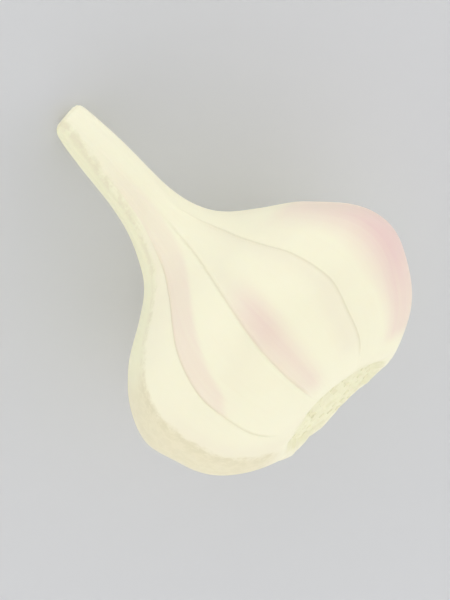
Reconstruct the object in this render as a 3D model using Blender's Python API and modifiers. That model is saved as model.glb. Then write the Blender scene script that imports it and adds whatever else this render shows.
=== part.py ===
"""A whole garlic bulb, dried and trimmed, lying as it comes to rest: on two cloves and the tip of its neck.

It grew as one thing, so it is one solid: eight cloves wrapped in papery skin, the skin drawn out into a long
neck, and the corky root plate with the stubs of its roots. It is shaped in its own frame, whose +X runs along
the axis from the tip of the neck to the roots and whose +Z is the upper side, and is then laid down.
"""

import math

import bmesh
import bpy
from mathutils import Matrix, Vector

MM = 0.001

# The outline along the axis, from the middle of the neck's cut end to the middle of the base: how far each
# station is from the tip, and the radius there, in millimetres. A smooth curve runs through the stations.
OUTLINE = (
    (0.0, 0.0),
    (0.3, 2.0),
    (2.1, 3.75),
    (9.0, 4.4),
    (18.0, 4.9),
    (24.5, 5.85),
    (29.5, 7.7),
    (33.5, 10.6),
    (37.5, 15.9),
    (42.0, 22.6),
    (47.5, 28.0),
    (54.6, 30.5),
    (61.9, 28.7),
    (67.8, 25.4),
    (71.8, 20.6),
    (74.4, 14.2),
    (72.6, 10.6),
    (70.4, 0.0),
)
WIDEST = 54.6 * MM
RIM = 74.4 * MM

# The creases between the eight cloves: the angle of each round the axis, from the upper side towards +Y, and
# its depth in millimetres. The cloves on the upper side lie closest together, so their creases are shallow.
CREASES = (
    (30, 1.2),
    (103, 1.8),
    (141, 2.4),
    (179, 3.0),
    (217, 2.4),
    (257, 1.8),
    (325, 1.2),
    (355, 1.2),
)
CREASE_START, CREASE_FULL = 24 * MM, 50 * MM
CREASE_POWER = 2.3
CREASE_NARROW = 12 * MM
WIDE_CLOVE = math.radians(56)
NECK_TWIST = math.radians(14)

# The neck bends a little sideways where it leaves the shoulders, droops towards its tip, and is cut aslant.
SIDE_BEND, SIDE_BEND_AT, SIDE_BEND_REACH = 0.9 * MM, 31 * MM, 11 * MM
DROOP, DROOP_END = 1.6 * MM, 34 * MM
CUT_SLANT, CUT_REACH = 0.12, 6 * MM

# The cloves on the upper side stop short of the base, so the root plate faces a little upwards.
UPPER_SHORTFALL = 4.3 * MM
PLATE_LEAN = math.radians(11)
PLATE_CENTRE = 72.2 * MM
PLATE_RADIUS = 10.8 * MM
PLATE_THICKNESS = 4.5 * MM
PLATE_EDGE = 0.6 * MM

# The trimmed roots stand in three rings round the plate, whose middle is bare.
ROOT_RINGS = ((4.8 * MM, 9), (7.0 * MM, 14), (9.2 * MM, 19))
ROOT_FOOT, ROOT_END = 0.75 * MM, 0.5 * MM
ROOT_HEIGHT, ROOT_UNEVENNESS = 0.45 * MM, 0.2 * MM
ROOT_SUNK = 0.8 * MM

# How far the cloves and the neck are flattened where they touch the table.
FLAT_DEPTH = 0.25 * MM

SIDES_PER_CLOVE = 7
RINGS_PER_STATION = 3


def smooth_step(low, high, value):
    """0 below low, 1 above high, with an even slope between them."""
    share = min(1.0, max(0.0, (value - low) / (high - low)))
    return share * share * (3 - 2 * share)


def outline_at(station):
    """The distance from the tip and the radius at a place between two stations, on a Catmull-Rom curve."""
    index = min(int(station), len(OUTLINE) - 2)
    share = station - index
    before = OUTLINE[max(index - 1, 0)]
    start, end = OUTLINE[index], OUTLINE[index + 1]
    after = OUTLINE[min(index + 2, len(OUTLINE) - 1)]
    point = []
    for p0, p1, p2, p3 in zip(before, start, end, after):
        slope = p2 - p0
        bend = 2 * p0 - 5 * p1 + 4 * p2 - p3
        turn = 3 * (p1 - p2) + p3 - p0
        point.append(p1 + 0.5 * share * (slope + share * (bend + share * turn)))
    return point[0] * MM, max(point[1], 0.0) * MM


def clove_at(turn):
    """For a share of a turn in which each clove takes an equal part: the angle there, and the furrow's depth."""
    place = turn * len(CREASES)
    index = int(place) % len(CREASES)
    across = place - int(place)
    (start, start_depth), (end, end_depth) = CREASES[index], CREASES[(index + 1) % len(CREASES)]
    width = math.radians((end - start) % 360)
    crest = min(1.0, (width / WIDE_CLOVE) ** 0.6)
    bulge = crest * (1 - abs(2 * across - 1) ** CREASE_POWER)
    depth = start_depth + across * (end_depth - start_depth)
    return math.radians(start) + across * width, (1 - bulge) * depth * MM


def skin_point(station, turn):
    """A point on the bulb's outside, in its own frame."""
    along, radius = outline_at(station)
    angle, furrow = clove_at(turn)
    radius -= furrow * smooth_step(CREASE_START, CREASE_FULL, along) * min(1.0, radius / CREASE_NARROW)
    angle += NECK_TWIST * (1 - smooth_step(CREASE_START, WIDEST, along))
    if along > WIDEST:
        upper = (0.5 + 0.5 * math.cos(angle)) ** 3 * min(1.0, radius / PLATE_RADIUS)
        along -= (along - WIDEST) * upper * UPPER_SHORTFALL / (RIM - WIDEST)
    side = radius * math.sin(angle)
    side -= SIDE_BEND * math.exp(-(((along - SIDE_BEND_AT) / SIDE_BEND_REACH) ** 2))
    height = radius * math.cos(angle)
    height -= DROOP * max(0.0, 1 - along / DROOP_END) ** 2
    along -= CUT_SLANT * side * (1 - smooth_step(0, CUT_REACH, along))
    return Vector((along, side, height))


def principled(name, colour, roughness):
    """A plain finish that shows a piece's colour."""
    material = bpy.data.materials.new(name)
    material.use_nodes = True
    shader = material.node_tree.nodes["Principled BSDF"]
    shader.inputs["Base Color"].default_value = (*colour, 1)
    shader.inputs["Roughness"].default_value = roughness
    shader.inputs["Metallic"].default_value = 0
    return material


def add_object(name, fill, collection):
    """An object whose mesh is made by a function that fills a bmesh."""
    data = bpy.data.meshes.new(name)
    mesh = bmesh.new()
    fill(mesh)
    mesh.to_mesh(data)
    mesh.free()
    made = bpy.data.objects.new(name, data)
    collection.objects.link(made)
    return made


def shape_bulb(mesh):
    """A sphere's net of rings and meridians, pulled to the outline and the cloves."""
    stations = len(OUTLINE) - 1
    bmesh.ops.create_uvsphere(
        mesh,
        u_segments=SIDES_PER_CLOVE * len(CREASES),
        v_segments=RINGS_PER_STATION * stations,
        radius=1,
    )
    for vertex in mesh.verts:
        x, y, z = vertex.co
        ring = math.acos(max(-1.0, min(1.0, z))) / math.pi * stations
        turn = (math.atan2(y, x) / (2 * math.pi) + 1e-6) % 1.0
        vertex.co = skin_point(round(ring * RINGS_PER_STATION) / RINGS_PER_STATION, turn)
    bmesh.ops.recalc_face_normals(mesh, faces=mesh.faces)


def shape_plate(mesh):
    """The corky disc, with its outer face at z = 0."""
    bmesh.ops.create_cone(
        mesh,
        cap_ends=True,
        segments=40,
        radius1=PLATE_RADIUS,
        radius2=PLATE_RADIUS,
        depth=PLATE_THICKNESS,
        matrix=Matrix.Translation((0, 0, -PLATE_THICKNESS / 2)),
    )


def shape_roots(mesh):
    """Short stubs in rings, each sunk into the plate below z = 0."""
    for ring, (reach, count) in enumerate(ROOT_RINGS):
        for place in range(count):
            angle = 2 * math.pi * (place + 0.5 * ring) / count
            height = ROOT_HEIGHT + ROOT_UNEVENNESS * math.sin(2.4 * place + ring)
            middle = (height - ROOT_SUNK) / 2
            bmesh.ops.create_cone(
                mesh,
                cap_ends=True,
                segments=6,
                radius1=ROOT_FOOT,
                radius2=ROOT_END,
                depth=height + ROOT_SUNK,
                matrix=Matrix.Translation((reach * math.cos(angle), reach * math.sin(angle), middle)),
            )


def shape_table(mesh):
    """A block whose top is the surface that the bulb lies on."""
    bmesh.ops.create_cube(mesh, size=0.2, matrix=Matrix.Translation((0, 0, -0.1)))


def lying_matrix(points):
    """Leans the bulb until its cloves and the tip of its neck are equally low, and centres it on the origin."""

    def lowest(turn, low, high):
        return min((turn @ p).z for p in points if low < p.x < high)

    least, most = 0.0, math.radians(45)
    for _ in range(40):
        lean = (least + most) / 2
        turn = Matrix.Rotation(-lean, 3, "Y")
        if lowest(turn, -WIDEST, 0.2 * WIDEST) > lowest(turn, 0.6 * WIDEST, 2 * WIDEST):
            least = lean
        else:
            most = lean
    turn = Matrix.Rotation(-lean, 4, "Y")
    placed = [turn @ p for p in points]
    middle_x = (min(p.x for p in placed) + max(p.x for p in placed)) / 2
    middle_y = (min(p.y for p in placed) + max(p.y for p in placed)) / 2
    lift = -min(p.z for p in placed) - FLAT_DEPTH
    return Matrix.Translation((-middle_x, -middle_y, lift)) @ turn


def combine(target, tool, operation):
    """Joins the tool's volume to the target, or cuts it away."""
    modifier = target.modifiers.new(tool.name, "BOOLEAN")
    modifier.operation = operation
    modifier.object = tool
    tool.hide_render = True
    tool.display_type = "WIRE"


def build():
    for left_over in list(bpy.data.objects):
        bpy.data.objects.remove(left_over)
    parts = bpy.data.collections.new("garlic_bulb")
    tools = bpy.data.collections.new("cutters")
    for collection in (parts, tools):
        bpy.context.scene.collection.children.link(collection)

    bulb = add_object("garlic_bulb", shape_bulb, parts)
    bulb.data.materials.append(principled("garlic_skin", (0.92, 0.89, 0.70), 0.55))
    lay = lying_matrix([vertex.co.copy() for vertex in bulb.data.vertices])
    bulb.matrix_world = lay

    plate = add_object("root_plate", shape_plate, tools)
    edge = plate.modifiers.new("rounded_edge", "BEVEL")
    edge.width = PLATE_EDGE
    edge.segments = 2
    roots = add_object("root_stubs", shape_roots, tools)
    for piece in (plate, roots):
        piece.matrix_world = (
            lay
            @ Matrix.Translation((PLATE_CENTRE, 0, 0))
            @ Matrix.Rotation(math.pi / 2 - PLATE_LEAN, 4, "Y")
        )
        combine(bulb, piece, "UNION")
    combine(bulb, add_object("table", shape_table, tools), "DIFFERENCE")
    bulb.data.shade_smooth()
    bulb.data.set_sharp_from_angle(angle=math.radians(35))


build()
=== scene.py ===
import math

import bpy
import numpy as np
from mathutils import Matrix, Vector, noise


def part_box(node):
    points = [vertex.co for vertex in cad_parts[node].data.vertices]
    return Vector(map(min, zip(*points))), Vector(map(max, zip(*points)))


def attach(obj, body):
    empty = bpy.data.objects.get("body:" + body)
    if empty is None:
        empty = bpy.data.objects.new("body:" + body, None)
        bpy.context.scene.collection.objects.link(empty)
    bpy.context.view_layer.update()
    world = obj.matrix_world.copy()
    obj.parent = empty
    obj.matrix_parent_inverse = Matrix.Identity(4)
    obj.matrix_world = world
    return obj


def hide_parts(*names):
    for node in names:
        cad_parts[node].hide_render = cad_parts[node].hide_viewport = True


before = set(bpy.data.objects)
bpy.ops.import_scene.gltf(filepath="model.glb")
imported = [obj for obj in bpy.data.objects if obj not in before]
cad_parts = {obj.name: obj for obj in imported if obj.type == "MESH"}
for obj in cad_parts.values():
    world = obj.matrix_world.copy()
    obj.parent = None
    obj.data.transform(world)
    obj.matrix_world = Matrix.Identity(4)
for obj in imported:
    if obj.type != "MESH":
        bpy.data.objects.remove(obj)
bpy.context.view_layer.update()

# The skin
# ========
# The outermost leaf of the bulb, dried to a thin, silky paper. It is drawn tight over eight cloves, so that
# each shows as a bulge with a crease at either side. Above them it closes into a long neck that a knife has
# trimmed, and below them it is gathered round the root plate.

# Sizes are in millimetres and angles in degrees, in the bulb's own frame: +X runs from the tip of the neck to
# the roots, which is how far along a point is, and angles go from the upper side, +Z, towards +Y.
# The outline has stations from the middle of the cut end to the middle of the base, and says how far along
# each of them is, and its radius.
OUTLINE = (
    (1.0, 0.0),
    (0.75, 1.3),
    (0.3, 2.1),
    (0.75, 3.05),
    (2.4, 3.75),
    (9.0, 4.45),
    (18.0, 4.9),
    (24.5, 5.85),
    (29.5, 7.7),
    (33.5, 10.6),
    (37.5, 15.9),
    (42.0, 22.6),
    (47.5, 28.0),
    (54.6, 30.5),
    (61.9, 28.7),
    (67.8, 25.4),
    (71.8, 20.6),
    (74.4, 14.2),
    (72.6, 10.6),
    (71.6, 8.0),
    (71.2, 0.0),
)
RIM_STATION = 17
RIM = OUTLINE[RIM_STATION][0]
WIDEST = max(OUTLINE, key=lambda stop: stop[1])[0]

# The neck bends a little to one side and droops, and its cut end slants. The base is cut back on the upper
# side, so that the root plate faces a little that way.
SIDE_BEND, SIDE_BEND_AT, SIDE_BEND_REACH = 0.9, 31, 11
DROOP, DROOP_END = 1.6, 34
CUT_SLANT, CUT_REACH = 0.12, 6
UPPER_SHORTFALL, UPPER_FOCUS = 4.3, 3
PLATE_RADIUS = 10.8

# Each crease: its depth, how strongly its line is tinted, how much further than the others the clove after it
# reaches past the root plate, and its angle at stops 8 mm apart, the first of them 24 mm along.
CREASE_FIRST, CREASE_SPACING = 24, 8
CREASES = (
    (1.2, 0.34, 0.0, (42, 42, 28.8, 29.2, 30.2, 29.0, 30.1)),
    (1.8, 0.4, 0.0, (118, 111, 106, 104, 103, 102.5, 102)),
    (2.4, 0.4, 0.0, (155, 148, 143, 141.5, 141, 140, 139)),
    (3.0, 0.4, 0.7, (190, 186, 181, 179.5, 179, 178.5, 178)),
    (2.4, 0.4, 0.5, (231, 224, 219, 217.5, 217, 218, 219)),
    (1.8, 0.4, 0.0, (272, 264, 259, 257.5, 257, 256.5, 256)),
    (1.2, 0.42, 0.0, (335, 331, 329.8, 326.8, 325.3, 324.3, 321.8)),
    (1.2, 0.35, 0.0, (374, 367.8, 359.7, 356.0, 354.2, 353.6, 353.5)),
)
CREASE_ANGLES = [stops for *_, stops in CREASES]
FAR_CREASE, NARROW_CREASE, MIDDLE_CREASE = 0, 6, 7

# Creases deepen from the neck to the body, and are shallow where the bulb is thin. A narrow clove bulges less
# than a wide one, and the foot of a clove reaches past the root plate.
CREASE_DEEPENS = (24, 50)
THIN_RADIUS = 12
CLOVE_POWER = 2.3
WIDE_CLOVE, NARROW_CLOVE_POWER = 56, 0.6
REACH_BEGINS, REACH_RADII = 66, (9, 14)

# Where a clove swells a little more or less than the outline: how far along and at what angle, and how much.
SWELL_ALONG, SWELL_ROUND = 4.0, 38
SWELLS = (
    (37.0, 282, -0.35),
    (40.5, 276, 0.45),
    (45.0, 80, -0.85),
    (59.5, 78, 0.35),
    (60.0, 280, -0.25),
)


def smooth_step(low, high, value):
    """0 at low, 1 at high, and an even slope between them."""
    share = np.clip((np.asarray(value, float) - low) / (high - low), 0, 1)
    return share * share * (3 - 2 * share)


def hill(value, middle, reach):
    """1 in the middle, falling away softly to both sides."""
    return np.exp(-(((value - middle) / reach) ** 2))


def curve_through(stops, place):
    """A smooth curve through evenly spaced stops, read at places counted in stops."""
    stops = np.array(stops, float)
    last = len(stops) - 1
    place = np.clip(place, 0, last)
    index = np.minimum(place.astype(int), last - 1)
    share = place - index
    if stops.ndim > 1:
        share = share[..., None]
    before, start = stops[np.maximum(index - 1, 0)], stops[index]
    end, after = stops[index + 1], stops[np.minimum(index + 2, last)]
    bend = 2 * before - 5 * start + 4 * end - after
    turn = 3 * (start - end) + after - before
    return start + 0.5 * share * (end - before + share * (bend + share * turn))


FINE_STEPS = 8000


def rings_on(outline, count, closeness):
    """Rings along an outline, closer where closeness is higher: their two sizes, and their stations."""
    place = np.linspace(0, len(outline) - 1, FINE_STEPS)
    line = curve_through(outline, place)
    step = np.hypot(*np.diff(line, axis=0).T) * closeness(place[1:])
    run = np.concatenate([[0], np.cumsum(step)])
    place = np.interp(np.linspace(0, run[-1], count), run, place)
    line = curve_through(outline, place)
    return line[:, 0], line[:, 1], place


def angle_of(stops, along, first=CREASE_FIRST, spacing=CREASE_SPACING):
    """The angle, in degrees, of a line that runs along the bulb through evenly spaced stops."""
    return curve_through(stops, (along - first) / spacing)


def bulb_form(along, radius, angle, furrow, reach):
    """Points of the skin, from their ring and angle, how deep in a furrow they lie and their extra reach."""
    turned = np.radians(angle)
    for swell_along, swell_angle, height in SWELLS:
        apart = (angle - swell_angle + 180) % 360 - 180
        radius = radius + height * hill(along, swell_along, SWELL_ALONG) * hill(apart, 0, SWELL_ROUND)
    radius = radius - furrow * smooth_step(*CREASE_DEEPENS, along) * np.minimum(1, radius / THIN_RADIUS)
    upper = (0.5 + 0.5 * np.cos(turned)) ** UPPER_FOCUS
    upper = upper * np.minimum(1, np.maximum(radius, 0) / PLATE_RADIUS)
    along = along - np.maximum(0, along - WIDEST) * upper * UPPER_SHORTFALL / (RIM - WIDEST)
    along = along + reach * smooth_step(REACH_BEGINS, RIM, along) * smooth_step(*REACH_RADII, radius)
    side = radius * np.sin(turned) - SIDE_BEND * hill(along, SIDE_BEND_AT, SIDE_BEND_REACH)
    height = radius * np.cos(turned) - DROOP * np.maximum(0, 1 - along / DROOP_END) ** 2
    along = along - CUT_SLANT * side * (1 - smooth_step(0, CUT_REACH, along))
    return np.stack([along, side, height], axis=-1)


# The net: rings crowd together on the cut end and are few where the root plate hides them, and columns crowd
# together beside the creases.
RINGS = 270
TIP_STATIONS, TIP_CROWDING = 4, 3.0
HIDDEN_THINNING = 0.8
COLUMNS_PER_CLOVE, COLUMNS_PER_DEGREE = 12, 0.72
COLUMN_CROWDING = 0.78


def skin_closeness(place):
    """How close together the rings of the skin are, at places counted in stations."""
    shown = 1 - HIDDEN_THINNING * smooth_step(RIM_STATION + 1, RIM_STATION + 2, place)
    on_tip = 1 - smooth_step(TIP_STATIONS - 1, TIP_STATIONS + 1, place)
    return shown * (1 + (TIP_CROWDING - 1) * on_tip)


along, radius, station = rings_on(OUTLINE, RINGS, skin_closeness)
radius = np.maximum(radius, 0)
edges = np.stack([angle_of(stops, along) for stops in CREASE_ANGLES], axis=-1)
edges = np.concatenate([edges, edges[:, :1] + 360], axis=1)
columns = []
for clove, (depth, line, reach, _) in enumerate(CREASES):
    next_depth, next_line = CREASES[(clove + 1) % len(CREASES)][:2]
    width = (edges[:, clove + 1] - edges[:, clove])[:, None]
    count = round(COLUMNS_PER_CLOVE + COLUMNS_PER_DEGREE * width[RINGS // 2, 0])
    even = np.arange(count) / count
    across = (even - COLUMN_CROWDING * np.sin(2 * math.pi * even) / (2 * math.pi))[None, :]
    crest = np.minimum(1, (width / WIDE_CLOVE) ** NARROW_CLOVE_POWER)
    bulge = crest * (1 - np.abs(2 * across - 1) ** CLOVE_POWER)
    angle = edges[:, clove, None] + across * width
    furrow = (1 - bulge) * (depth + across * (next_depth - depth))
    gap = np.minimum(across, 1 - across) * np.radians(width) * radius[:, None]
    nearest_line = np.broadcast_to(np.where(across < 0.5, line, next_line), angle.shape)
    columns.append((angle, furrow, reach * bulge, gap, nearest_line))
angles, furrows, reaches, gaps, nearest_line = (np.concatenate(parts, axis=1) for parts in zip(*columns))
around_each = angles.shape[1]
along, radius, station = (np.repeat(row[:, None], around_each, axis=1) for row in (along, radius, station))
skin = bulb_form(along, radius, angles, furrows, reaches)
degrees = (angles + 180) % 360 - 180
around = np.stack([np.cos(np.radians(angles)), np.sin(np.radians(angles))], axis=-1)


def outward(points):
    """The direction straight out of a net of points whose rows go once round."""
    down = np.gradient(points, axis=0)
    across = np.roll(points, -1, axis=1) - np.roll(points, 1, axis=1)
    out = np.cross(across, down)
    return out / np.maximum(np.linalg.norm(out, axis=-1, keepdims=True), 1e-9)


def lumps(points, size, seed):
    """Soft unevenness from about -1 to 1, with hills about so many millimetres wide."""
    spots = points.reshape(-1, 3) / size + seed
    return np.array([noise.noise(Vector(spot)) for spot in spots]).reshape(points.shape[:-1])


# The relief on the form: the fine groove in each crease, soft unevenness, the lengthwise ribs and folds of
# the dried leaf, which are strongest on the neck, and the pleats where the skin is gathered round the root
# plate.
GROOVE_DEPTH, GROOVE_WIDTH = 0.2, 0.24
GROOVE_BEGINS, GROOVE_FADES, GROOVE_FADE = (22, 32), (70, 73.5), 0.75
SWELLING, SWELLING_SIZE, SWELLING_ON_NECK = 0.2, 9.0, 0.3
RIB_HEIGHT, RIBS_ROUND, RIB_LENGTH = 0.3, 2.6, 26
FOLD_HEIGHT, FOLDS_ROUND, FOLD_LENGTH, FOLD_FADE = 0.11, 8.0, 15, 0.65
PLEAT_HEIGHT, PLEATS_ROUND, PLEAT_LENGTH = 0.22, 7.5, 8
NECK_FADES, BODY_BEGINS, CUT_END_FADES = (24, 40), (28, 44), (2.0, 3.6)
PAST_RIM = (RIM_STATION - 0.7, RIM_STATION + 0.3)


def lengthwise(fineness, length, seed):
    """Unevenness that is drawn out along the bulb, like the ribs of a leaf."""
    return lumps(np.concatenate([around * fineness, along[..., None] / length], axis=-1), 1.0, seed)


on_neck = 1 - smooth_step(*NECK_FADES, along)
on_body = smooth_step(*BODY_BEGINS, along)
on_cut_end = 1 - smooth_step(*CUT_END_FADES, station)
past_rim = smooth_step(*PAST_RIM, station)
groove = hill(gaps, 0, GROOVE_WIDTH) * smooth_step(*GROOVE_BEGINS, along)
groove *= 1 - GROOVE_FADE * smooth_step(*GROOVE_FADES, along)
relief = -GROOVE_DEPTH * groove
swelling = SWELLING * lumps(skin, SWELLING_SIZE, seed=3.1)
relief += swelling * (SWELLING_ON_NECK + (1 - SWELLING_ON_NECK) * on_body)
relief += RIB_HEIGHT * lengthwise(RIBS_ROUND, RIB_LENGTH, seed=7.7) * on_neck * (1 - on_cut_end)
folds = FOLD_HEIGHT * lengthwise(FOLDS_ROUND, FOLD_LENGTH, seed=2.9)
relief += folds * (1 - FOLD_FADE * on_body) * (1 - on_cut_end)
relief += PLEAT_HEIGHT * lengthwise(PLEATS_ROUND, PLEAT_LENGTH, seed=5.3) * past_rim
skin = skin + outward(skin) * relief[..., None]

# The knife left the edges of the rolled leaves showing as rings on the cut end of the neck.
LEAF_THICKNESS, LEAF_STEP, LEAF_EDGE = 0.62, 0.32, (0.35, 0.95)
LEAF_WAVE, LEAF_WAVES_ROUND, LEAF_WAVE_LENGTH = 0.16, 1.6, 9
LEAF_RINGS_BEGIN, LEAF_RINGS_END = (0.2, 0.6), (2.6, 3.2)
wavy = radius + LEAF_WAVE * lengthwise(LEAF_WAVES_ROUND, LEAF_WAVE_LENGTH, seed=4.4)
between_leaves = np.abs((wavy / LEAF_THICKNESS) % 1 - 0.5) * 2
leaf_edges = smooth_step(*LEAF_EDGE, between_leaves) * on_cut_end * smooth_step(*LEAF_RINGS_BEGIN, radius)
skin[..., 0] += LEAF_STEP * leaf_edges * (1 - smooth_step(*LEAF_RINGS_END, radius))

# The bulb lies on two cloves and the tip of its neck, so its axis leans. What would sink into the table is
# flattened.
LEAN = math.radians(25.33)
MM = 0.001
PRESSED = 0.05 * MM


def leaned(points):
    """Turns points from the bulb's own frame to the way it lies, and from millimetres to metres."""
    x, y, z = np.moveaxis(points * MM, -1, 0)
    leaned_x = x * math.cos(LEAN) - z * math.sin(LEAN)
    leaned_z = x * math.sin(LEAN) + z * math.cos(LEAN)
    return np.stack([leaned_x, y, leaned_z], axis=-1)


low, high = (np.array(corner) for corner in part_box("garlic_bulb"))
leant = leaned(skin).reshape(-1, 3)
shift = (low + high - leant.min(axis=0) - leant.max(axis=0)) / 2
shift[2] = high[2] - leant[:, 2].max()


def laid_down(points):
    """Places points of the bulb's own frame where it lies on the table."""
    placed = leaned(points) + shift
    height = placed[..., 2]
    placed[..., 2] = 0.5 * (height + np.sqrt(height**2 + PRESSED**2))
    return placed


def net_faces(rows, columns, first):
    """The faces of a closed net: rows go once round, and the first and last rows meet in a point."""
    row, column = np.meshgrid(np.arange(rows - 3), np.arange(columns), indexing="ij")
    after = (column + 1) % columns
    here, there = first + row * columns, first + (row + 1) * columns
    quads = np.stack([here + column, there + column, there + after, here + after], axis=-1).reshape(-1, 4)
    turn = np.arange(columns)
    turn_after = (turn + 1) % columns
    last = first + (rows - 3) * columns
    start, end = last + columns, last + columns + 1
    caps = [[turn + first, turn_after + first, np.full(columns, start)]]
    caps += [[last + turn_after, last + turn, np.full(columns, end)]]
    return quads.tolist() + [face for cap in caps for face in np.stack(cap, axis=-1).tolist()]


def in_order(net):
    """What a net holds for each point, in the order in which its points are stored."""
    return np.concatenate([net[1:-1].reshape(-1, *net.shape[2:]), net[:1, 0], net[-1:, 0]])


def net_piece(name, nets):
    """A piece made of closed nets of points, each of them a closed body of its own."""
    places, faces = [], []
    for points in nets:
        faces += net_faces(*points.shape[:2], len(places))
        places += in_order(points).tolist()
    data = bpy.data.meshes.new(name)
    data.from_pydata(places, [], faces)
    data.validate()
    data.shade_smooth()
    piece = bpy.data.objects.new(name, data)
    bpy.context.scene.collection.objects.link(piece)
    return piece


def mark(piece, name, nets):
    """Stores a number, or a place, for each point of a piece's nets, for its finish to read by name."""
    values = np.concatenate([in_order(net) for net in nets])
    kind, field = ("FLOAT_VECTOR", "vector") if values.ndim > 1 else ("FLOAT", "value")
    layer = piece.data.attributes.new(name, kind, "POINT")
    layer.data.foreach_set(field, values.astype(np.float32).ravel())


bulb_skin = net_piece("bulb_skin", [laid_down(skin)])

# Where the skin is tinted. The far clove is flushed from its shoulder to its foot, most where it turns away:
# how strong the flush is at stops along the clove, and the angles where it begins and where it is full.
FLUSH_FIRST, FLUSH_SPACING = 38.2, 4.4
FLUSH_STRENGTH = (0.36, 0.52, 0.65, 0.84, 1.0, 0.97, 0.8, 0.66, 0.55)
FLUSH_BEGINS = (41, 40, 42, 43, 41.5, 41.5, 43.5, 45, 47)
FLUSH_FULL = (62, 63, 61, 62, 61, 60, 57, 56, 58)
FLUSH_RISES, FLUSH_FADES, FLUSH_FAR_SIDE = (0.4, 3.2), (71.8, 73.8), (88, 112)
flush_stop = (along - FLUSH_FIRST) / FLUSH_SPACING
begins = curve_through(FLUSH_BEGINS, flush_stop)
far_flush = np.clip((degrees - begins) / (curve_through(FLUSH_FULL, flush_stop) - begins), 0, 1)
far_flush *= curve_through(FLUSH_STRENGTH, flush_stop) * smooth_step(*FLUSH_RISES, along - FLUSH_FIRST)
far_flush *= (1 - smooth_step(*FLUSH_FADES, along)) * (1 - smooth_step(*FLUSH_FAR_SIDE, degrees))

# Other cloves are flushed beside the crease before them, the middle one of the upper side more than the
# hidden ones. Each flush: its crease, its strengths at stops, the first stop, their spacing, and how many
# degrees it holds for and reaches.
MIDDLE_FLUSH = (MIDDLE_CREASE, (0.3, 0.55, 0.65, 0.57, 0.53, 0.48, 0.45, 0.42), 43, 3.4, 6, 15.5)
HIDDEN_FLUSHES = (
    (1, (0.1, 0.3, 0.4, 0.34, 0.2), 44, 5, 8, 20),
    (4, (0.12, 0.34, 0.3, 0.12), 40, 6, 5, 17),
    (5, (0.1, 0.2, 0.24, 0.16), 42, 5.5, 6, 18),
)
AT_CREASE, SOFT_START, BESIDE_BEGINS = 0.68, 6, (-0.8, 0.2)


def flush_beside(crease, strengths, first, spacing, holds, reaches):
    """The flush on the clove after a crease, which is a little weaker right at the crease."""
    apart = (angles - angle_of(CREASE_ANGLES[crease], along) + 180) % 360 - 180
    across = AT_CREASE + (1 - AT_CREASE) * smooth_step(0, SOFT_START, apart)
    across *= (1 - smooth_step(holds, reaches, apart)) * smooth_step(*BESIDE_BEGINS, apart)
    return curve_through((0.0, *strengths, 0.0), (along - first) / spacing) * across


middle_flush = flush_beside(*MIDDLE_FLUSH)
hidden_flush = sum(flush_beside(*flush) for flush in HIDDEN_FLUSHES)

# A pale streak runs from the neck down the narrow clove next to the middle one, along its crease, and ends
# square to it. The stops give the angle of its other edge. The shoulder below it is faintly rosy.
STREAK_FIRST, STREAK_SPACING = 16, 8
STREAK_SOFTNESS, CREASE_SOFTNESS = (-0.5, 1.0), (-0.4, 0.4)
STREAK_EDGE = (14, 16, 0.5, -14, -21.5, -25.5, -28.5)
STREAK_ON_NECK, STREAK_NECK_BEGINS = 0.19, (7, 22)
STREAK_ON_BODY, STREAK_BODY_BEGINS = 0.17, (24, 44)
STREAK_ENDS, STREAK_END_TURN = (60.0, 63.2), 0.8
ROSY, ROSY_AT, ROSY_LENGTH, ROSY_ANGLE, ROSY_WIDTH = 0.08, 36, 8, -37, 14
streak_width = (angle_of(STREAK_EDGE, along, STREAK_FIRST, STREAK_SPACING) - degrees) * np.radians(radius)
past_narrow_crease = degrees - (angle_of(CREASE_ANGLES[NARROW_CREASE], along) - 360)
streak = smooth_step(*STREAK_SOFTNESS, streak_width) * smooth_step(*CREASE_SOFTNESS, past_narrow_crease)
streak *= (STREAK_ON_NECK * smooth_step(*STREAK_NECK_BEGINS, along)
           + STREAK_ON_BODY * smooth_step(*STREAK_BODY_BEGINS, along))
end_turn = STREAK_END_TURN * np.radians(radius) * np.maximum(0, past_narrow_crease)
streak *= 1 - smooth_step(*STREAK_ENDS, along + end_turn)
rosy = ROSY * hill(along, ROSY_AT, ROSY_LENGTH) * hill(degrees, ROSY_ANGLE, ROSY_WIDTH)

# A painted shade lies along the far clove's crease, on the side of the middle clove. Its other edge has
# angles at the same stops as the creases. A second painted shade lies above the middle flush.
CREASE_SHADE_EDGE = (60, 34, 21.6, 22, 20.5, 18, 16)
CREASE_SHADE_SOFTNESS = (-1.5, 3.0)
CREASE_SHADE_BEGINS, CREASE_SHADE_FADES = (28, 34), (69, 72.5)
SHADE, SHADE_AT, SHADE_LENGTH, SHADE_ANGLE, SHADE_WIDTH = 0.9, 43, 3.5, 5, 5
crease_shade_width = (degrees - angle_of(CREASE_SHADE_EDGE, along)) * np.radians(radius)
before_far_crease = angle_of(CREASE_ANGLES[FAR_CREASE], along) - degrees
painted_shade = smooth_step(*CREASE_SHADE_SOFTNESS, crease_shade_width) * smooth_step(*CREASE_SOFTNESS, before_far_crease)
painted_shade *= smooth_step(*CREASE_SHADE_BEGINS, along) * (1 - smooth_step(*CREASE_SHADE_FADES, along))
past_middle_crease = degrees - (angle_of(CREASE_ANGLES[MIDDLE_CREASE], along) - 360)
shade = SHADE * hill(past_middle_crease, SHADE_ANGLE, SHADE_WIDTH) * hill(along, SHADE_AT, SHADE_LENGTH)
painted_shade += shade * smooth_step(*CREASE_SOFTNESS, past_middle_crease)
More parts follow.
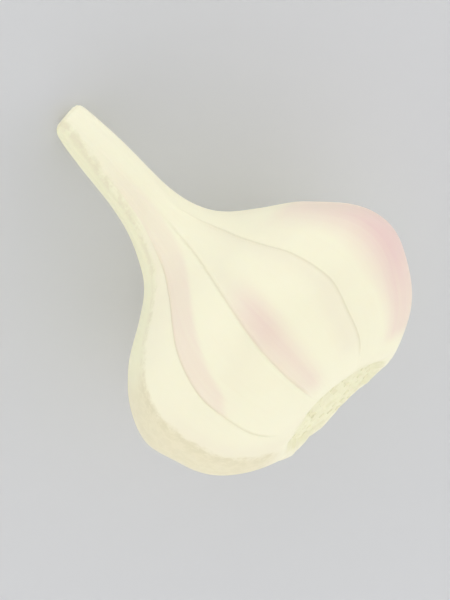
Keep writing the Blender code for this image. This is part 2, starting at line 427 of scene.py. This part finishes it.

# The lower side is tinted green on the neck and the shoulder and straw-coloured below them, up to an edge
# with angles at stops 7 mm apart; the tint is partly painted shade of the lower side. It fades towards the
# hidden side and at the rim, and beside it more painted shade lies on the body and where the shoulder
# begins.
LOWER_EDGE = (-17, -19, -29, -34, -40, -46, -54.6, -56, -54.6, -56, -57)
LOWER_SPACING, LOWER_SPREAD, LOWER_AT_RIM = 7, 0.2, 2
LOWER_FADE_ANGLE, LOWER_FADE_WIDTH = -94, 46
BODY_FADES_SOONER, SOONER_BEGINS = 22, (40, 52)
LOWER_FADES = (72.8, 74.6)
BESIDE_BODY, BESIDE_BODY_REACH, BESIDE_BODY_BEGINS = 1.05, (1.2, 7), (48, 57)
BESIDE_NECK, BESIDE_NECK_REACH, BESIDE_NECK_AT, BESIDE_NECK_LENGTH = 0.8, (0.8, 2.2), 30, 5
lower = (angle_of(LOWER_EDGE, along, 0, LOWER_SPACING) - degrees) * np.radians(radius) + LOWER_SPREAD
lower = lower - LOWER_AT_RIM * past_rim
sooner = BODY_FADES_SOONER * smooth_step(*SOONER_BEGINS, along)
lower_fade = 1 - smooth_step(0, 1, (LOWER_FADE_ANGLE - degrees + sooner) / LOWER_FADE_WIDTH)
lower_fade *= 1 - smooth_step(*LOWER_FADES, along)
beside_body = BESIDE_BODY * (1 - smooth_step(*BESIDE_BODY_REACH, -lower))
painted_shade += beside_body * smooth_step(*BESIDE_BODY_BEGINS, along) * (1 - past_rim)
beside_neck = BESIDE_NECK * (1 - smooth_step(*BESIDE_NECK_REACH, -lower))
painted_shade += beside_neck * hill(along, BESIDE_NECK_AT, BESIDE_NECK_LENGTH)

# The foot of the skin, where it is gathered round the root plate, is tinted inside an oval. Just inside the
# oval's edge, a darker band is painted shade of the recess round the plate.
FOOT_WIDTH, FOOT_MIDDLE, FOOT_HEIGHT, FOOT_POWER = 11.6, 0.9, 13.0, 2.4
FOOT_BEGINS = 62
oval = np.abs(skin[..., 1] / FOOT_WIDTH) ** FOOT_POWER
oval += np.abs((skin[..., 2] - FOOT_MIDDLE) / FOOT_HEIGHT) ** FOOT_POWER
foot = np.minimum(FOOT_HEIGHT * (1 - oval ** (1 / FOOT_POWER)), along - FOOT_BEGINS)

# The line in the bottom of each crease is tinted, less where a flush lies beside it.
LINE_WIDTH, LINE_BEGINS, LINE_FADES, LINE_LOST_IN_FLUSH = 0.22, (24, 37), (69.5, 72.5), 0.45
crease_line = nearest_line * hill(gaps, 0, LINE_WIDTH) * smooth_step(*LINE_BEGINS, along)
crease_line *= 1 - smooth_step(*LINE_FADES, along)
crease_line *= 1 - LINE_LOST_IN_FLUSH * np.clip(middle_flush, 0, 1)

TINT_LIMIT = 6
FIBRES_ROUND = 30
marks = {
    "flush": np.clip(far_flush + middle_flush + hidden_flush + streak + rosy, 0, 1),
    # the painted shade beside the creases, above the middle flush and beside the lower tint
    "painted_shade": np.clip(painted_shade, 0, 1),
    # the lower tint, which is partly painted shade, and how much of it is kept
    "lower": np.clip(lower, -TINT_LIMIT, TINT_LIMIT),
    "lower_fade": lower_fade,
    "foot": np.clip(foot, -TINT_LIMIT, TINT_LIMIT),
    "along": along,
    "crease": crease_line,
    "leaf_edges": leaf_edges,
    "fibres": np.concatenate([around * FIBRES_ROUND, along[..., None]], axis=-1),
}
for name, values in marks.items():
    mark(bulb_skin, name, [values])


def paint(red, green, blue):
    """A colour given in steps from 0 to 255 on the sRGB scale, as a shader wants it."""
    steps = np.array([red, green, blue]) / 255
    return (*np.where(steps > 0.04045, ((steps + 0.055) / 1.055) ** 2.4, steps / 12.92), 1)


def new_finish(name):
    """A material with its tree of nodes and its shader."""
    finish = bpy.data.materials.new(name)
    finish.use_nodes = True
    return finish, finish.node_tree, finish.node_tree.nodes["Principled BSDF"]


def add(tree, kind, inputs, **settings):
    """A node with its settings made, and its inputs set or linked."""
    made = tree.nodes.new(kind)
    for setting, value in settings.items():
        setattr(made, setting, value)
    for name, value in inputs.items():
        if isinstance(value, bpy.types.NodeSocket):
            tree.links.new(value, made.inputs[name])
        else:
            made.inputs[name].default_value = value
    return made


def read_mark(tree, name, output="Fac"):
    """What was stored on a piece's points by mark."""
    return add(tree, "ShaderNodeAttribute", {}, attribute_name=name).outputs[output]


def blend(tree, share, first, second):
    """A colour between two."""
    return add(tree, "ShaderNodeMix", {0: share, 6: first, 7: second}, data_type="RGBA").outputs[2]


def reckon(tree, operation, *values):
    """A sum, product or the like of numbers."""
    return add(tree, "ShaderNodeMath", dict(enumerate(values)), operation=operation).outputs[0]


def ramp(tree, value, low, high, least=0.0, most=1.0):
    """Spreads a value from low..high over least..most, smoothly."""
    inputs = {0: value, 1: low, 2: high, 3: least, 4: most}
    return add(tree, "ShaderNodeMapRange", inputs, interpolation_type="SMOOTHSTEP").outputs[0]


def cloud(tree, where, size, detail=3.0, roughness=0.55):
    """Soft random patches, so many to the metre."""
    inputs = {"Vector": where, "Scale": size, "Detail": detail, "Roughness": roughness}
    return add(tree, "ShaderNodeTexNoise", inputs).outputs["Fac"]


def stretched(tree, where, x, y, z):
    """A place with its three directions scaled."""
    return add(tree, "ShaderNodeMapping", {"Vector": where, "Scale": (x, y, z)}).outputs[0]


# The paper is cream, with faint veins along it. It is paler on the neck, which is painted light that lifts
# the neck where the body shades it from the key light. The painted shades and the flushes lie over that.
CREAM = paint(246, 242, 215)
WARM_CREAM = paint(245, 239, 213)
PAINTED_LIGHT_NECK_CREAM = paint(249, 245, 219)
VEIN = paint(242, 235, 206)
SHADE_PAINT = paint(239, 231, 208)
PINK = paint(233, 204, 198)
NECK_PALES = (2, 28)
WARM_SHARE, WARM_PATCHES = 0.6, (0.45, 0.7)
VEIN_SHARE, VEINS_SHOW, VEIN_WIDTH, VEIN_LENGTH = 0.15, (0.52, 0.72), 0.9, 0.035
SHADE_PAINT_SHARE = 0.5
FLUSH_VARIES, VEINS_VARY = (0.92, 1.08), (0.3, 0.7)

skin_finish, tree, shader = new_finish("garlic_skin")
place = add(tree, "ShaderNodeTexCoord", {}).outputs["Object"]
fibre_place = read_mark(tree, "fibres", "Vector")
mottle = cloud(tree, place, 1100, detail=5, roughness=0.7)
blotches = cloud(tree, place, 520, detail=3, roughness=0.6)
wash = cloud(tree, place, 90, detail=2)
vein_place = stretched(tree, fibre_place, VEIN_WIDTH, VEIN_WIDTH, VEIN_LENGTH)
veins = cloud(tree, vein_place, 1.0, detail=5, roughness=0.6)
below_neck = ramp(tree, read_mark(tree, "along"), *NECK_PALES)
body_cream = blend(tree, ramp(tree, wash, *WARM_PATCHES, most=WARM_SHARE), CREAM, WARM_CREAM)
colour = blend(tree, below_neck, PAINTED_LIGHT_NECK_CREAM, body_cream)
colour = blend(tree, ramp(tree, veins, *VEINS_SHOW, most=VEIN_SHARE), colour, VEIN)
# The painted shade darkens the paper.
colour = blend(tree, reckon(tree, "MULTIPLY", read_mark(tree, "painted_shade"), SHADE_PAINT_SHARE), colour, SHADE_PAINT)
flush = read_mark(tree, "flush")
flushed = reckon(tree, "MULTIPLY", flush, ramp(tree, veins, *VEINS_VARY, *FLUSH_VARIES))
colour = blend(tree, flushed, colour, PINK)

# The tinted parts have a wavering edge, and just inside it a darker band in blotches, which is painted
# shade. The tint of the lower side turns from green to straw below the shoulder, and its band of painted
# shade reaches further in there.
PALE_GREEN = paint(240, 238, 206)
OLIVE_GREEN = paint(233, 227, 198)
STRAW = paint(235, 227, 197)
TAN = paint(226, 218, 186)
FOOT_TINT = paint(239, 236, 204)
FOOT_EDGE_SHADE = paint(235, 231, 199)
TURNS_TO_STRAW = (41, 49)
NECK_EDGE_SHADE_REACH, BODY_EDGE_SHADE_REACH, FOOT_EDGE_SHADE_REACH = 2.6, 4.5, 2.4
BODY_EDGE_SHADE_LEFT = 0.55
EDGE_OF_BAND, EDGE_SHADE_RISES = (-1.0, 1.1), (-0.7, 1.0)
EDGE_SHADE_BLOTCHES, EDGE_SHADE_MOTTLE, EDGE_SHADE_VARIES = 0.6, 0.4, (0.43, 0.57, 0.15, 1.0)
WAVER_BLOTCHES, WAVER_MOTTLE, WAVER_SHIFT = 2.2, 1.6, -1.8
on_straw = ramp(tree, read_mark(tree, "along"), *TURNS_TO_STRAW)
lower_tint_and_shade = blend(tree, on_straw, PALE_GREEN, STRAW)
lower_darker_tint_and_shade = blend(tree, on_straw, OLIVE_GREEN, TAN)
lower_reach = ramp(tree, on_straw, 0, 1, NECK_EDGE_SHADE_REACH, BODY_EDGE_SHADE_REACH)
lower_left = ramp(tree, on_straw, 0, 1, 0.0, BODY_EDGE_SHADE_LEFT)
patches = reckon(tree, "MULTIPLY", mottle, EDGE_SHADE_MOTTLE)
patches = reckon(tree, "MULTIPLY_ADD", blotches, EDGE_SHADE_BLOTCHES, patches)
patchy = ramp(tree, patches, *EDGE_SHADE_VARIES)
waver = reckon(tree, "MULTIPLY_ADD", mottle, WAVER_MOTTLE, WAVER_SHIFT)
waver = reckon(tree, "MULTIPLY_ADD", blotches, WAVER_BLOTCHES, waver)
lower_kept = read_mark(tree, "lower_fade")
# Each band: its mark, its colour, the colour of the painted shade inside its edge, how far that shade reaches
# and how much of it is left beyond, and how much of the band is kept.
shaded_bands = (
    ("lower", lower_tint_and_shade, lower_darker_tint_and_shade, lower_reach, lower_left, lower_kept),
    ("foot", FOOT_TINT, FOOT_EDGE_SHADE, FOOT_EDGE_SHADE_REACH, 0.0, 1.0),
)
for name, band_colour, edge_shade, reach, edge_shade_left, kept in shaded_bands:
    inside = reckon(tree, "ADD", read_mark(tree, name), waver)
    band_share = reckon(tree, "MULTIPLY", ramp(tree, inside, *EDGE_OF_BAND), kept)
    edge_shade_begins = ramp(tree, inside, *EDGE_SHADE_RISES)
    edge_shade_thins = ramp(tree, inside, EDGE_SHADE_RISES[1], reach, 1, edge_shade_left)
    edge_shaded = reckon(tree, "MULTIPLY", edge_shade_begins, edge_shade_thins)
    edge_shaded = reckon(tree, "MULTIPLY", edge_shaded, patchy)
    colour = blend(tree, band_share, colour, band_colour)
    colour = blend(tree, reckon(tree, "MULTIPLY", edge_shaded, kept), colour, edge_shade)

# The cut edges of the leaves have browned, and the lines in the creases are olive.
BROWN_EDGE = paint(214, 194, 150)
BROWN_SHARE = 0.5
OLIVE = paint(204, 196, 160)
browned = reckon(tree, "MULTIPLY", read_mark(tree, "leaf_edges"), BROWN_SHARE)
colour = blend(tree, browned, colour, BROWN_EDGE)
colour = blend(tree, read_mark(tree, "crease"), colour, OLIVE)
tree.links.new(colour, shader.inputs["Base Color"])

# The dried leaf is matt and silky, and lets a little light in. Its grain and veins stand up very slightly.
GRAIN_WIDTH, GRAIN_LENGTH = 2.2, 0.12
VEIN_HEIGHT, GRAIN_HEIGHT, PAPER_HEIGHT = 0.6, 0.3, 0.1
MATT, SILKY = 0.64, 0.52
grain_place = stretched(tree, fibre_place, GRAIN_WIDTH, GRAIN_WIDTH, GRAIN_LENGTH)
grain = cloud(tree, grain_place, 1.0, detail=4)
paper = cloud(tree, place, 2600, detail=3)
height = reckon(tree, "MULTIPLY_ADD", grain, GRAIN_HEIGHT, reckon(tree, "MULTIPLY", paper, PAPER_HEIGHT))
height = reckon(tree, "MULTIPLY_ADD", veins, VEIN_HEIGHT, height)
bump = add(tree, "ShaderNodeBump", {"Height": height, "Strength": 0.3, "Distance": 0.0002})
tree.links.new(bump.outputs[0], shader.inputs["Normal"])
tree.links.new(ramp(tree, veins, *VEINS_VARY, MATT, SILKY), shader.inputs["Roughness"])
shader.inputs["Specular IOR Level"].default_value = 0.15
shader.inputs["Sheen Weight"].default_value = 0.3
shader.inputs["Sheen Roughness"].default_value = 0.5
shader.inputs["Sheen Tint"].default_value = paint(255, 250, 226)
shader.inputs["Subsurface Weight"].default_value = 0.12
shader.inputs["Subsurface Radius"].default_value = (1.0, 0.8, 0.5)
shader.inputs["Subsurface Scale"].default_value = 0.0015
bulb_skin.data.materials.append(skin_finish)
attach(bulb_skin, "root")
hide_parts("garlic_bulb")

# The root plate
# ==============
# The short, corky stem that all the cloves sit on, grown into the base of the bulb. It faces a little
# towards the upper side, and is pale and slightly green, with a rough face and the scar of the old shoot in
# its middle.

# Its outline has stations from the middle of its face to the middle of its hidden side: radius, and height.
PLATE_CENTRE, PLATE_LEAN = 72.2, math.radians(11)
PLATE_OUTLINE = (
    (0.0, -0.35),
    (1.6, -0.3),
    (2.6, 0.12),
    (5.0, 0.0),
    (8.0, 0.1),
    (10.0, -0.05),
    (PLATE_RADIUS, -0.6),
    (10.6, -2.4),
    (0.0, -2.8),
)
PLATE_EDGE_STATION = 6
PLATE_RINGS, PLATE_COLUMNS = 110, 260
BACK_THINNING = 0.85
COARSE_ROUGHNESS, COARSE_SIZE = 0.12, 2.4
FINE_ROUGHNESS, FINE_SIZE = 0.07, 0.8
# Its edge waves in and out: by what share, how many times round, and from which angle.
EDGE_WAVES = ((0.012, 5, 0), (0.01, 11, 1))


def on_plate(reach, angle, height):
    """Points near the root plate, from their distance and angle round its middle and their height."""
    across, up = reach * np.sin(angle), reach * np.cos(angle)
    x = PLATE_CENTRE + height * math.cos(PLATE_LEAN) - up * math.sin(PLATE_LEAN)
    z = height * math.sin(PLATE_LEAN) + up * math.cos(PLATE_LEAN)
    return np.stack([x, across, z], axis=-1)


def plate_closeness(place):
    """How close together the rings of the plate are: few on its hidden side."""
    return 1 - BACK_THINNING * smooth_step(PLATE_EDGE_STATION + 0.5, PLATE_EDGE_STATION + 1.2, place)


reach, height, _ = rings_on(PLATE_OUTLINE, PLATE_RINGS, plate_closeness)
turn = np.linspace(0, 2 * math.pi, PLATE_COLUMNS, endpoint=False)
reach, turn = np.meshgrid(reach, turn, indexing="ij")
height = np.repeat(height[:, None], turn.shape[1], axis=1)
plate = on_plate(reach, turn, height)
rough = COARSE_ROUGHNESS * lumps(plate, COARSE_SIZE, seed=1.3)
rough += FINE_ROUGHNESS * lumps(plate, FINE_SIZE, seed=5.9)
wavy_edge = np.ones_like(turn)
for share, times, start in EDGE_WAVES:
    wavy_edge += share * np.sin(times * turn + start)
plate = on_plate(reach * wavy_edge, turn, height + rough * smooth_step(0, 1, reach))
root_plate = net_piece("root_plate", [laid_down(plate)])

# Its face is a little darker towards the upper side, as painted shade next to the cloves, and speckled all
# over. The cut ends of the roots, which have the same finish, are browner.
SHADE_BEGINS, FACE_BEGINS = (1, 10), (-0.9, -0.3)
plate_shade = smooth_step(*SHADE_BEGINS, reach * np.cos(turn)) * smooth_step(*FACE_BEGINS, height)
mark(root_plate, "shade", [plate_shade])

CORK = paint(241, 238, 206)
CORK_PATCH = paint(239, 235, 203)
CORK_SPECK = paint(235, 229, 197)
CORK_SHADE = paint(233, 229, 197)
CUT_ROOT = paint(238, 232, 200)
PATCHES_SHOW, SPECKS_SHOW, SPECK_SHARE = (0.35, 0.65), (0.55, 0.75), 0.5
SHADE_SHARE, SHADE_PATCHES, CUT_SHARE = 0.8, (0.4, 0.6, 0.5), 0.8

cork_finish, tree, shader = new_finish("root_cork")
place = add(tree, "ShaderNodeTexCoord", {}).outputs["Object"]
patches = cloud(tree, place, 450, detail=4)
specks = cloud(tree, place, 1500, detail=4)
colour = blend(tree, ramp(tree, patches, *PATCHES_SHOW), CORK, CORK_PATCH)
colour = blend(tree, ramp(tree, specks, *SPECKS_SHOW, most=SPECK_SHARE), colour, CORK_SPECK)
shaded = reckon(tree, "MULTIPLY", read_mark(tree, "shade"), ramp(tree, patches, *SHADE_PATCHES))
colour = blend(tree, reckon(tree, "MULTIPLY", shaded, SHADE_SHARE), colour, CORK_SHADE)
colour = blend(tree, reckon(tree, "MULTIPLY", read_mark(tree, "cut"), CUT_SHARE), colour, CUT_ROOT)
tree.links.new(colour, shader.inputs["Base Color"])
bumps = reckon(tree, "ADD", patches, specks)
bump = add(tree, "ShaderNodeBump", {"Height": bumps, "Strength": 0.25, "Distance": 0.0003})
tree.links.new(bump.outputs[0], shader.inputs["Normal"])
shader.inputs["Roughness"].default_value = 0.85
shader.inputs["Specular IOR Level"].default_value = 0.2
root_plate.data.materials.append(cork_finish)
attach(root_plate, "root")

# The stubs of the roots
# ======================
# The roots were trimmed off close to the plate. What is left of them are hard little stubs that grow out of
# it in three rings, each with an uneven, browner cut end.

# Each ring: its radius, and how many stubs stand in it. The outline of a stub runs from the middle of its
# hidden foot to the middle of its cut end: radius, and height as a share of the stub's own.
ROOT_RINGS = ((4.8, 9), (7.0, 14), (9.2, 19))
STUB_OUTLINE = (
    (0.0, -1.6),
    (0.8, -1.6),
    (0.8, -0.3),
    (0.64, 0.3),
    (0.54, 0.85),
    (0.4, 1.0),
    (0.2, 0.9),
    (0.0, 0.8),
)
STUB_HEIGHT, STUB_HEIGHTS_DIFFER = 0.25, 0.08
CUT_UNEVENNESS, CUT_RISE = 0.1, (0.5, 1)
CUT_STATIONS = (3.6, 5)
STUB_RINGS, STUB_SIDES = 18, 16
width, rise, station = rings_on(STUB_OUTLINE, STUB_RINGS, np.ones_like)
turn = np.arange(STUB_SIDES) * 2 * math.pi / STUB_SIDES
width, turn = np.meshgrid(np.maximum(width, 0), turn, indexing="ij")
rise, station = (np.repeat(row[:, None], STUB_SIDES, axis=1) for row in (rise, station))
stubs = []
# No two stubs are alike: their height, the waves round their side and their cut change from one to the next.
for ring, (from_middle, count) in enumerate(ROOT_RINGS):
    for number in range(count):
        root_angle = math.pi - 2 * math.pi * (number + 0.5 * ring) / count
        height = STUB_HEIGHT + STUB_HEIGHTS_DIFFER * math.sin(2.4 * number + ring)
        waves = 1 + 0.12 * np.sin(2 * turn + 1.7 * number) + 0.08 * np.sin(3 * turn + 2.9 * number + ring)
        outward_by, aside_by = from_middle + width * waves * np.cos(turn), width * waves * np.sin(turn)
        cut = CUT_UNEVENNESS * np.sin(turn + 2.1 * number) * smooth_step(*CUT_RISE, rise)
        reach = np.hypot(outward_by, aside_by)
        stubs.append(on_plate(reach, root_angle + np.arctan2(aside_by, outward_by), height * (rise + cut)))
root_stubs = net_piece("root_stubs", [laid_down(stub) for stub in stubs])
mark(root_stubs, "cut", [smooth_step(*CUT_STATIONS, station)] * len(stubs))
root_stubs.data.materials.append(cork_finish)
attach(root_stubs, "root")

# The floor, the light and the camera
# ===================================
# A plain pale floor, which turns up softly far away, and soft light from all round, brightest low down, with
# a little more from two soft boxes. The camera looks square to the bulb's axis, rolled so that the neck
# points to the upper left. Sizes are in metres.
FLOOR_REACH, FLOOR_RISE = 2.6, 0.7
FLOOR_SIDES, BEND_STEPS = 96, 12
turn = np.linspace(0, 2 * math.pi, FLOOR_SIDES, endpoint=False)
bend = np.linspace(0, math.pi / 2, BEND_STEPS)
flat_reach = FLOOR_REACH - FLOOR_RISE
profile = [(flat_reach + FLOOR_RISE * math.sin(b), FLOOR_RISE * (1 - math.cos(b))) for b in bend]
places = [(0, 0, 0)]
for reach, rise in profile:
    places += [(reach * math.cos(t), reach * math.sin(t), rise) for t in turn]
faces = [(0, 1 + k, 1 + (k + 1) % FLOOR_SIDES) for k in range(FLOOR_SIDES)]
for ring in range(len(profile) - 1):
    first = 1 + ring * FLOOR_SIDES
    for k in range(FLOOR_SIDES):
        after = (k + 1) % FLOOR_SIDES
        faces.append((first + k, first + FLOOR_SIDES + k, first + FLOOR_SIDES + after, first + after))
floor_mesh = bpy.data.meshes.new("floor")
floor_mesh.from_pydata(places, [], faces)
floor_mesh.shade_smooth()
floor = bpy.data.objects.new("floor", floor_mesh)
bpy.context.scene.collection.objects.link(floor)
floor_finish, tree, shader = new_finish("floor_paint")
shader.inputs["Base Color"].default_value = paint(214, 215, 217)
shader.inputs["Roughness"].default_value = 0.9
shader.inputs["Specular IOR Level"].default_value = 0.1
floor.data.materials.append(floor_finish)

# The camera's aim is a point of the bulb's own frame, in millimetres.
ROLL = math.radians(47)
AIM = (45.2, -1.6, 0.0)
DISTANCE, VIEW_HEIGHT = 0.9, 0.1106
rest = Matrix.Rotation(-LEAN, 3, "Y")
right = rest @ Vector((math.cos(ROLL), math.sin(ROLL), 0))
up = rest @ Vector((-math.sin(ROLL), math.cos(ROLL), 0))
back = rest @ Vector((0, 0, 1))
aim = Vector((leaned(np.array(AIM)) + shift).tolist())
camera_data = bpy.data.cameras.new("camera")
camera_data.lens = camera_data.sensor_width * DISTANCE / VIEW_HEIGHT
camera = bpy.data.objects.new("camera", camera_data)
bpy.context.scene.collection.objects.link(camera)
turned = Matrix((right, up, back)).transposed().to_4x4()
camera.matrix_world = Matrix.Translation(aim + back * DISTANCE) @ turned
bpy.context.scene.camera = camera

LIT_HEIGHT = 0.025


def soft_light(name, place, size, watts):
    """A square soft box that points at the bulb."""
    data = bpy.data.lights.new(name, "AREA")
    data.size = size
    data.energy = watts
    lamp = bpy.data.objects.new(name, data)
    bpy.context.scene.collection.objects.link(lamp)
    lamp.location = place
    towards = Vector((0, 0, LIT_HEIGHT)) - Vector(place)
    lamp.rotation_euler = towards.to_track_quat("-Z", "Y").to_euler()


soft_light("key", place=(0.7, -0.25, 0.65), size=0.7, watts=0.38)
soft_light("fill", place=(-0.65, 0.7, 0.12), size=0.5, watts=0.3)
world = bpy.data.worlds.new("studio")
world.use_nodes = True
tree = world.node_tree
direction = add(tree, "ShaderNodeTexCoord", {}).outputs["Generated"]
height = add(tree, "ShaderNodeSeparateXYZ", {"Vector": direction}).outputs["Z"]
LOW_LIGHT, HIGH_LIGHT, HIGH_FROM = 4.6, 0.51, 0.68
by_height = {0: height, 1: 0.0, 2: HIGH_FROM, 3: LOW_LIGHT, 4: HIGH_LIGHT}
brightness = add(tree, "ShaderNodeMapRange", by_height).outputs[0]
tree.links.new(brightness, tree.nodes["Background"].inputs["Strength"])
tree.nodes["Background"].inputs["Color"].default_value = (1, 1, 1, 1)
bpy.context.scene.world = world
bpy.context.scene.view_settings.view_transform = "Standard"
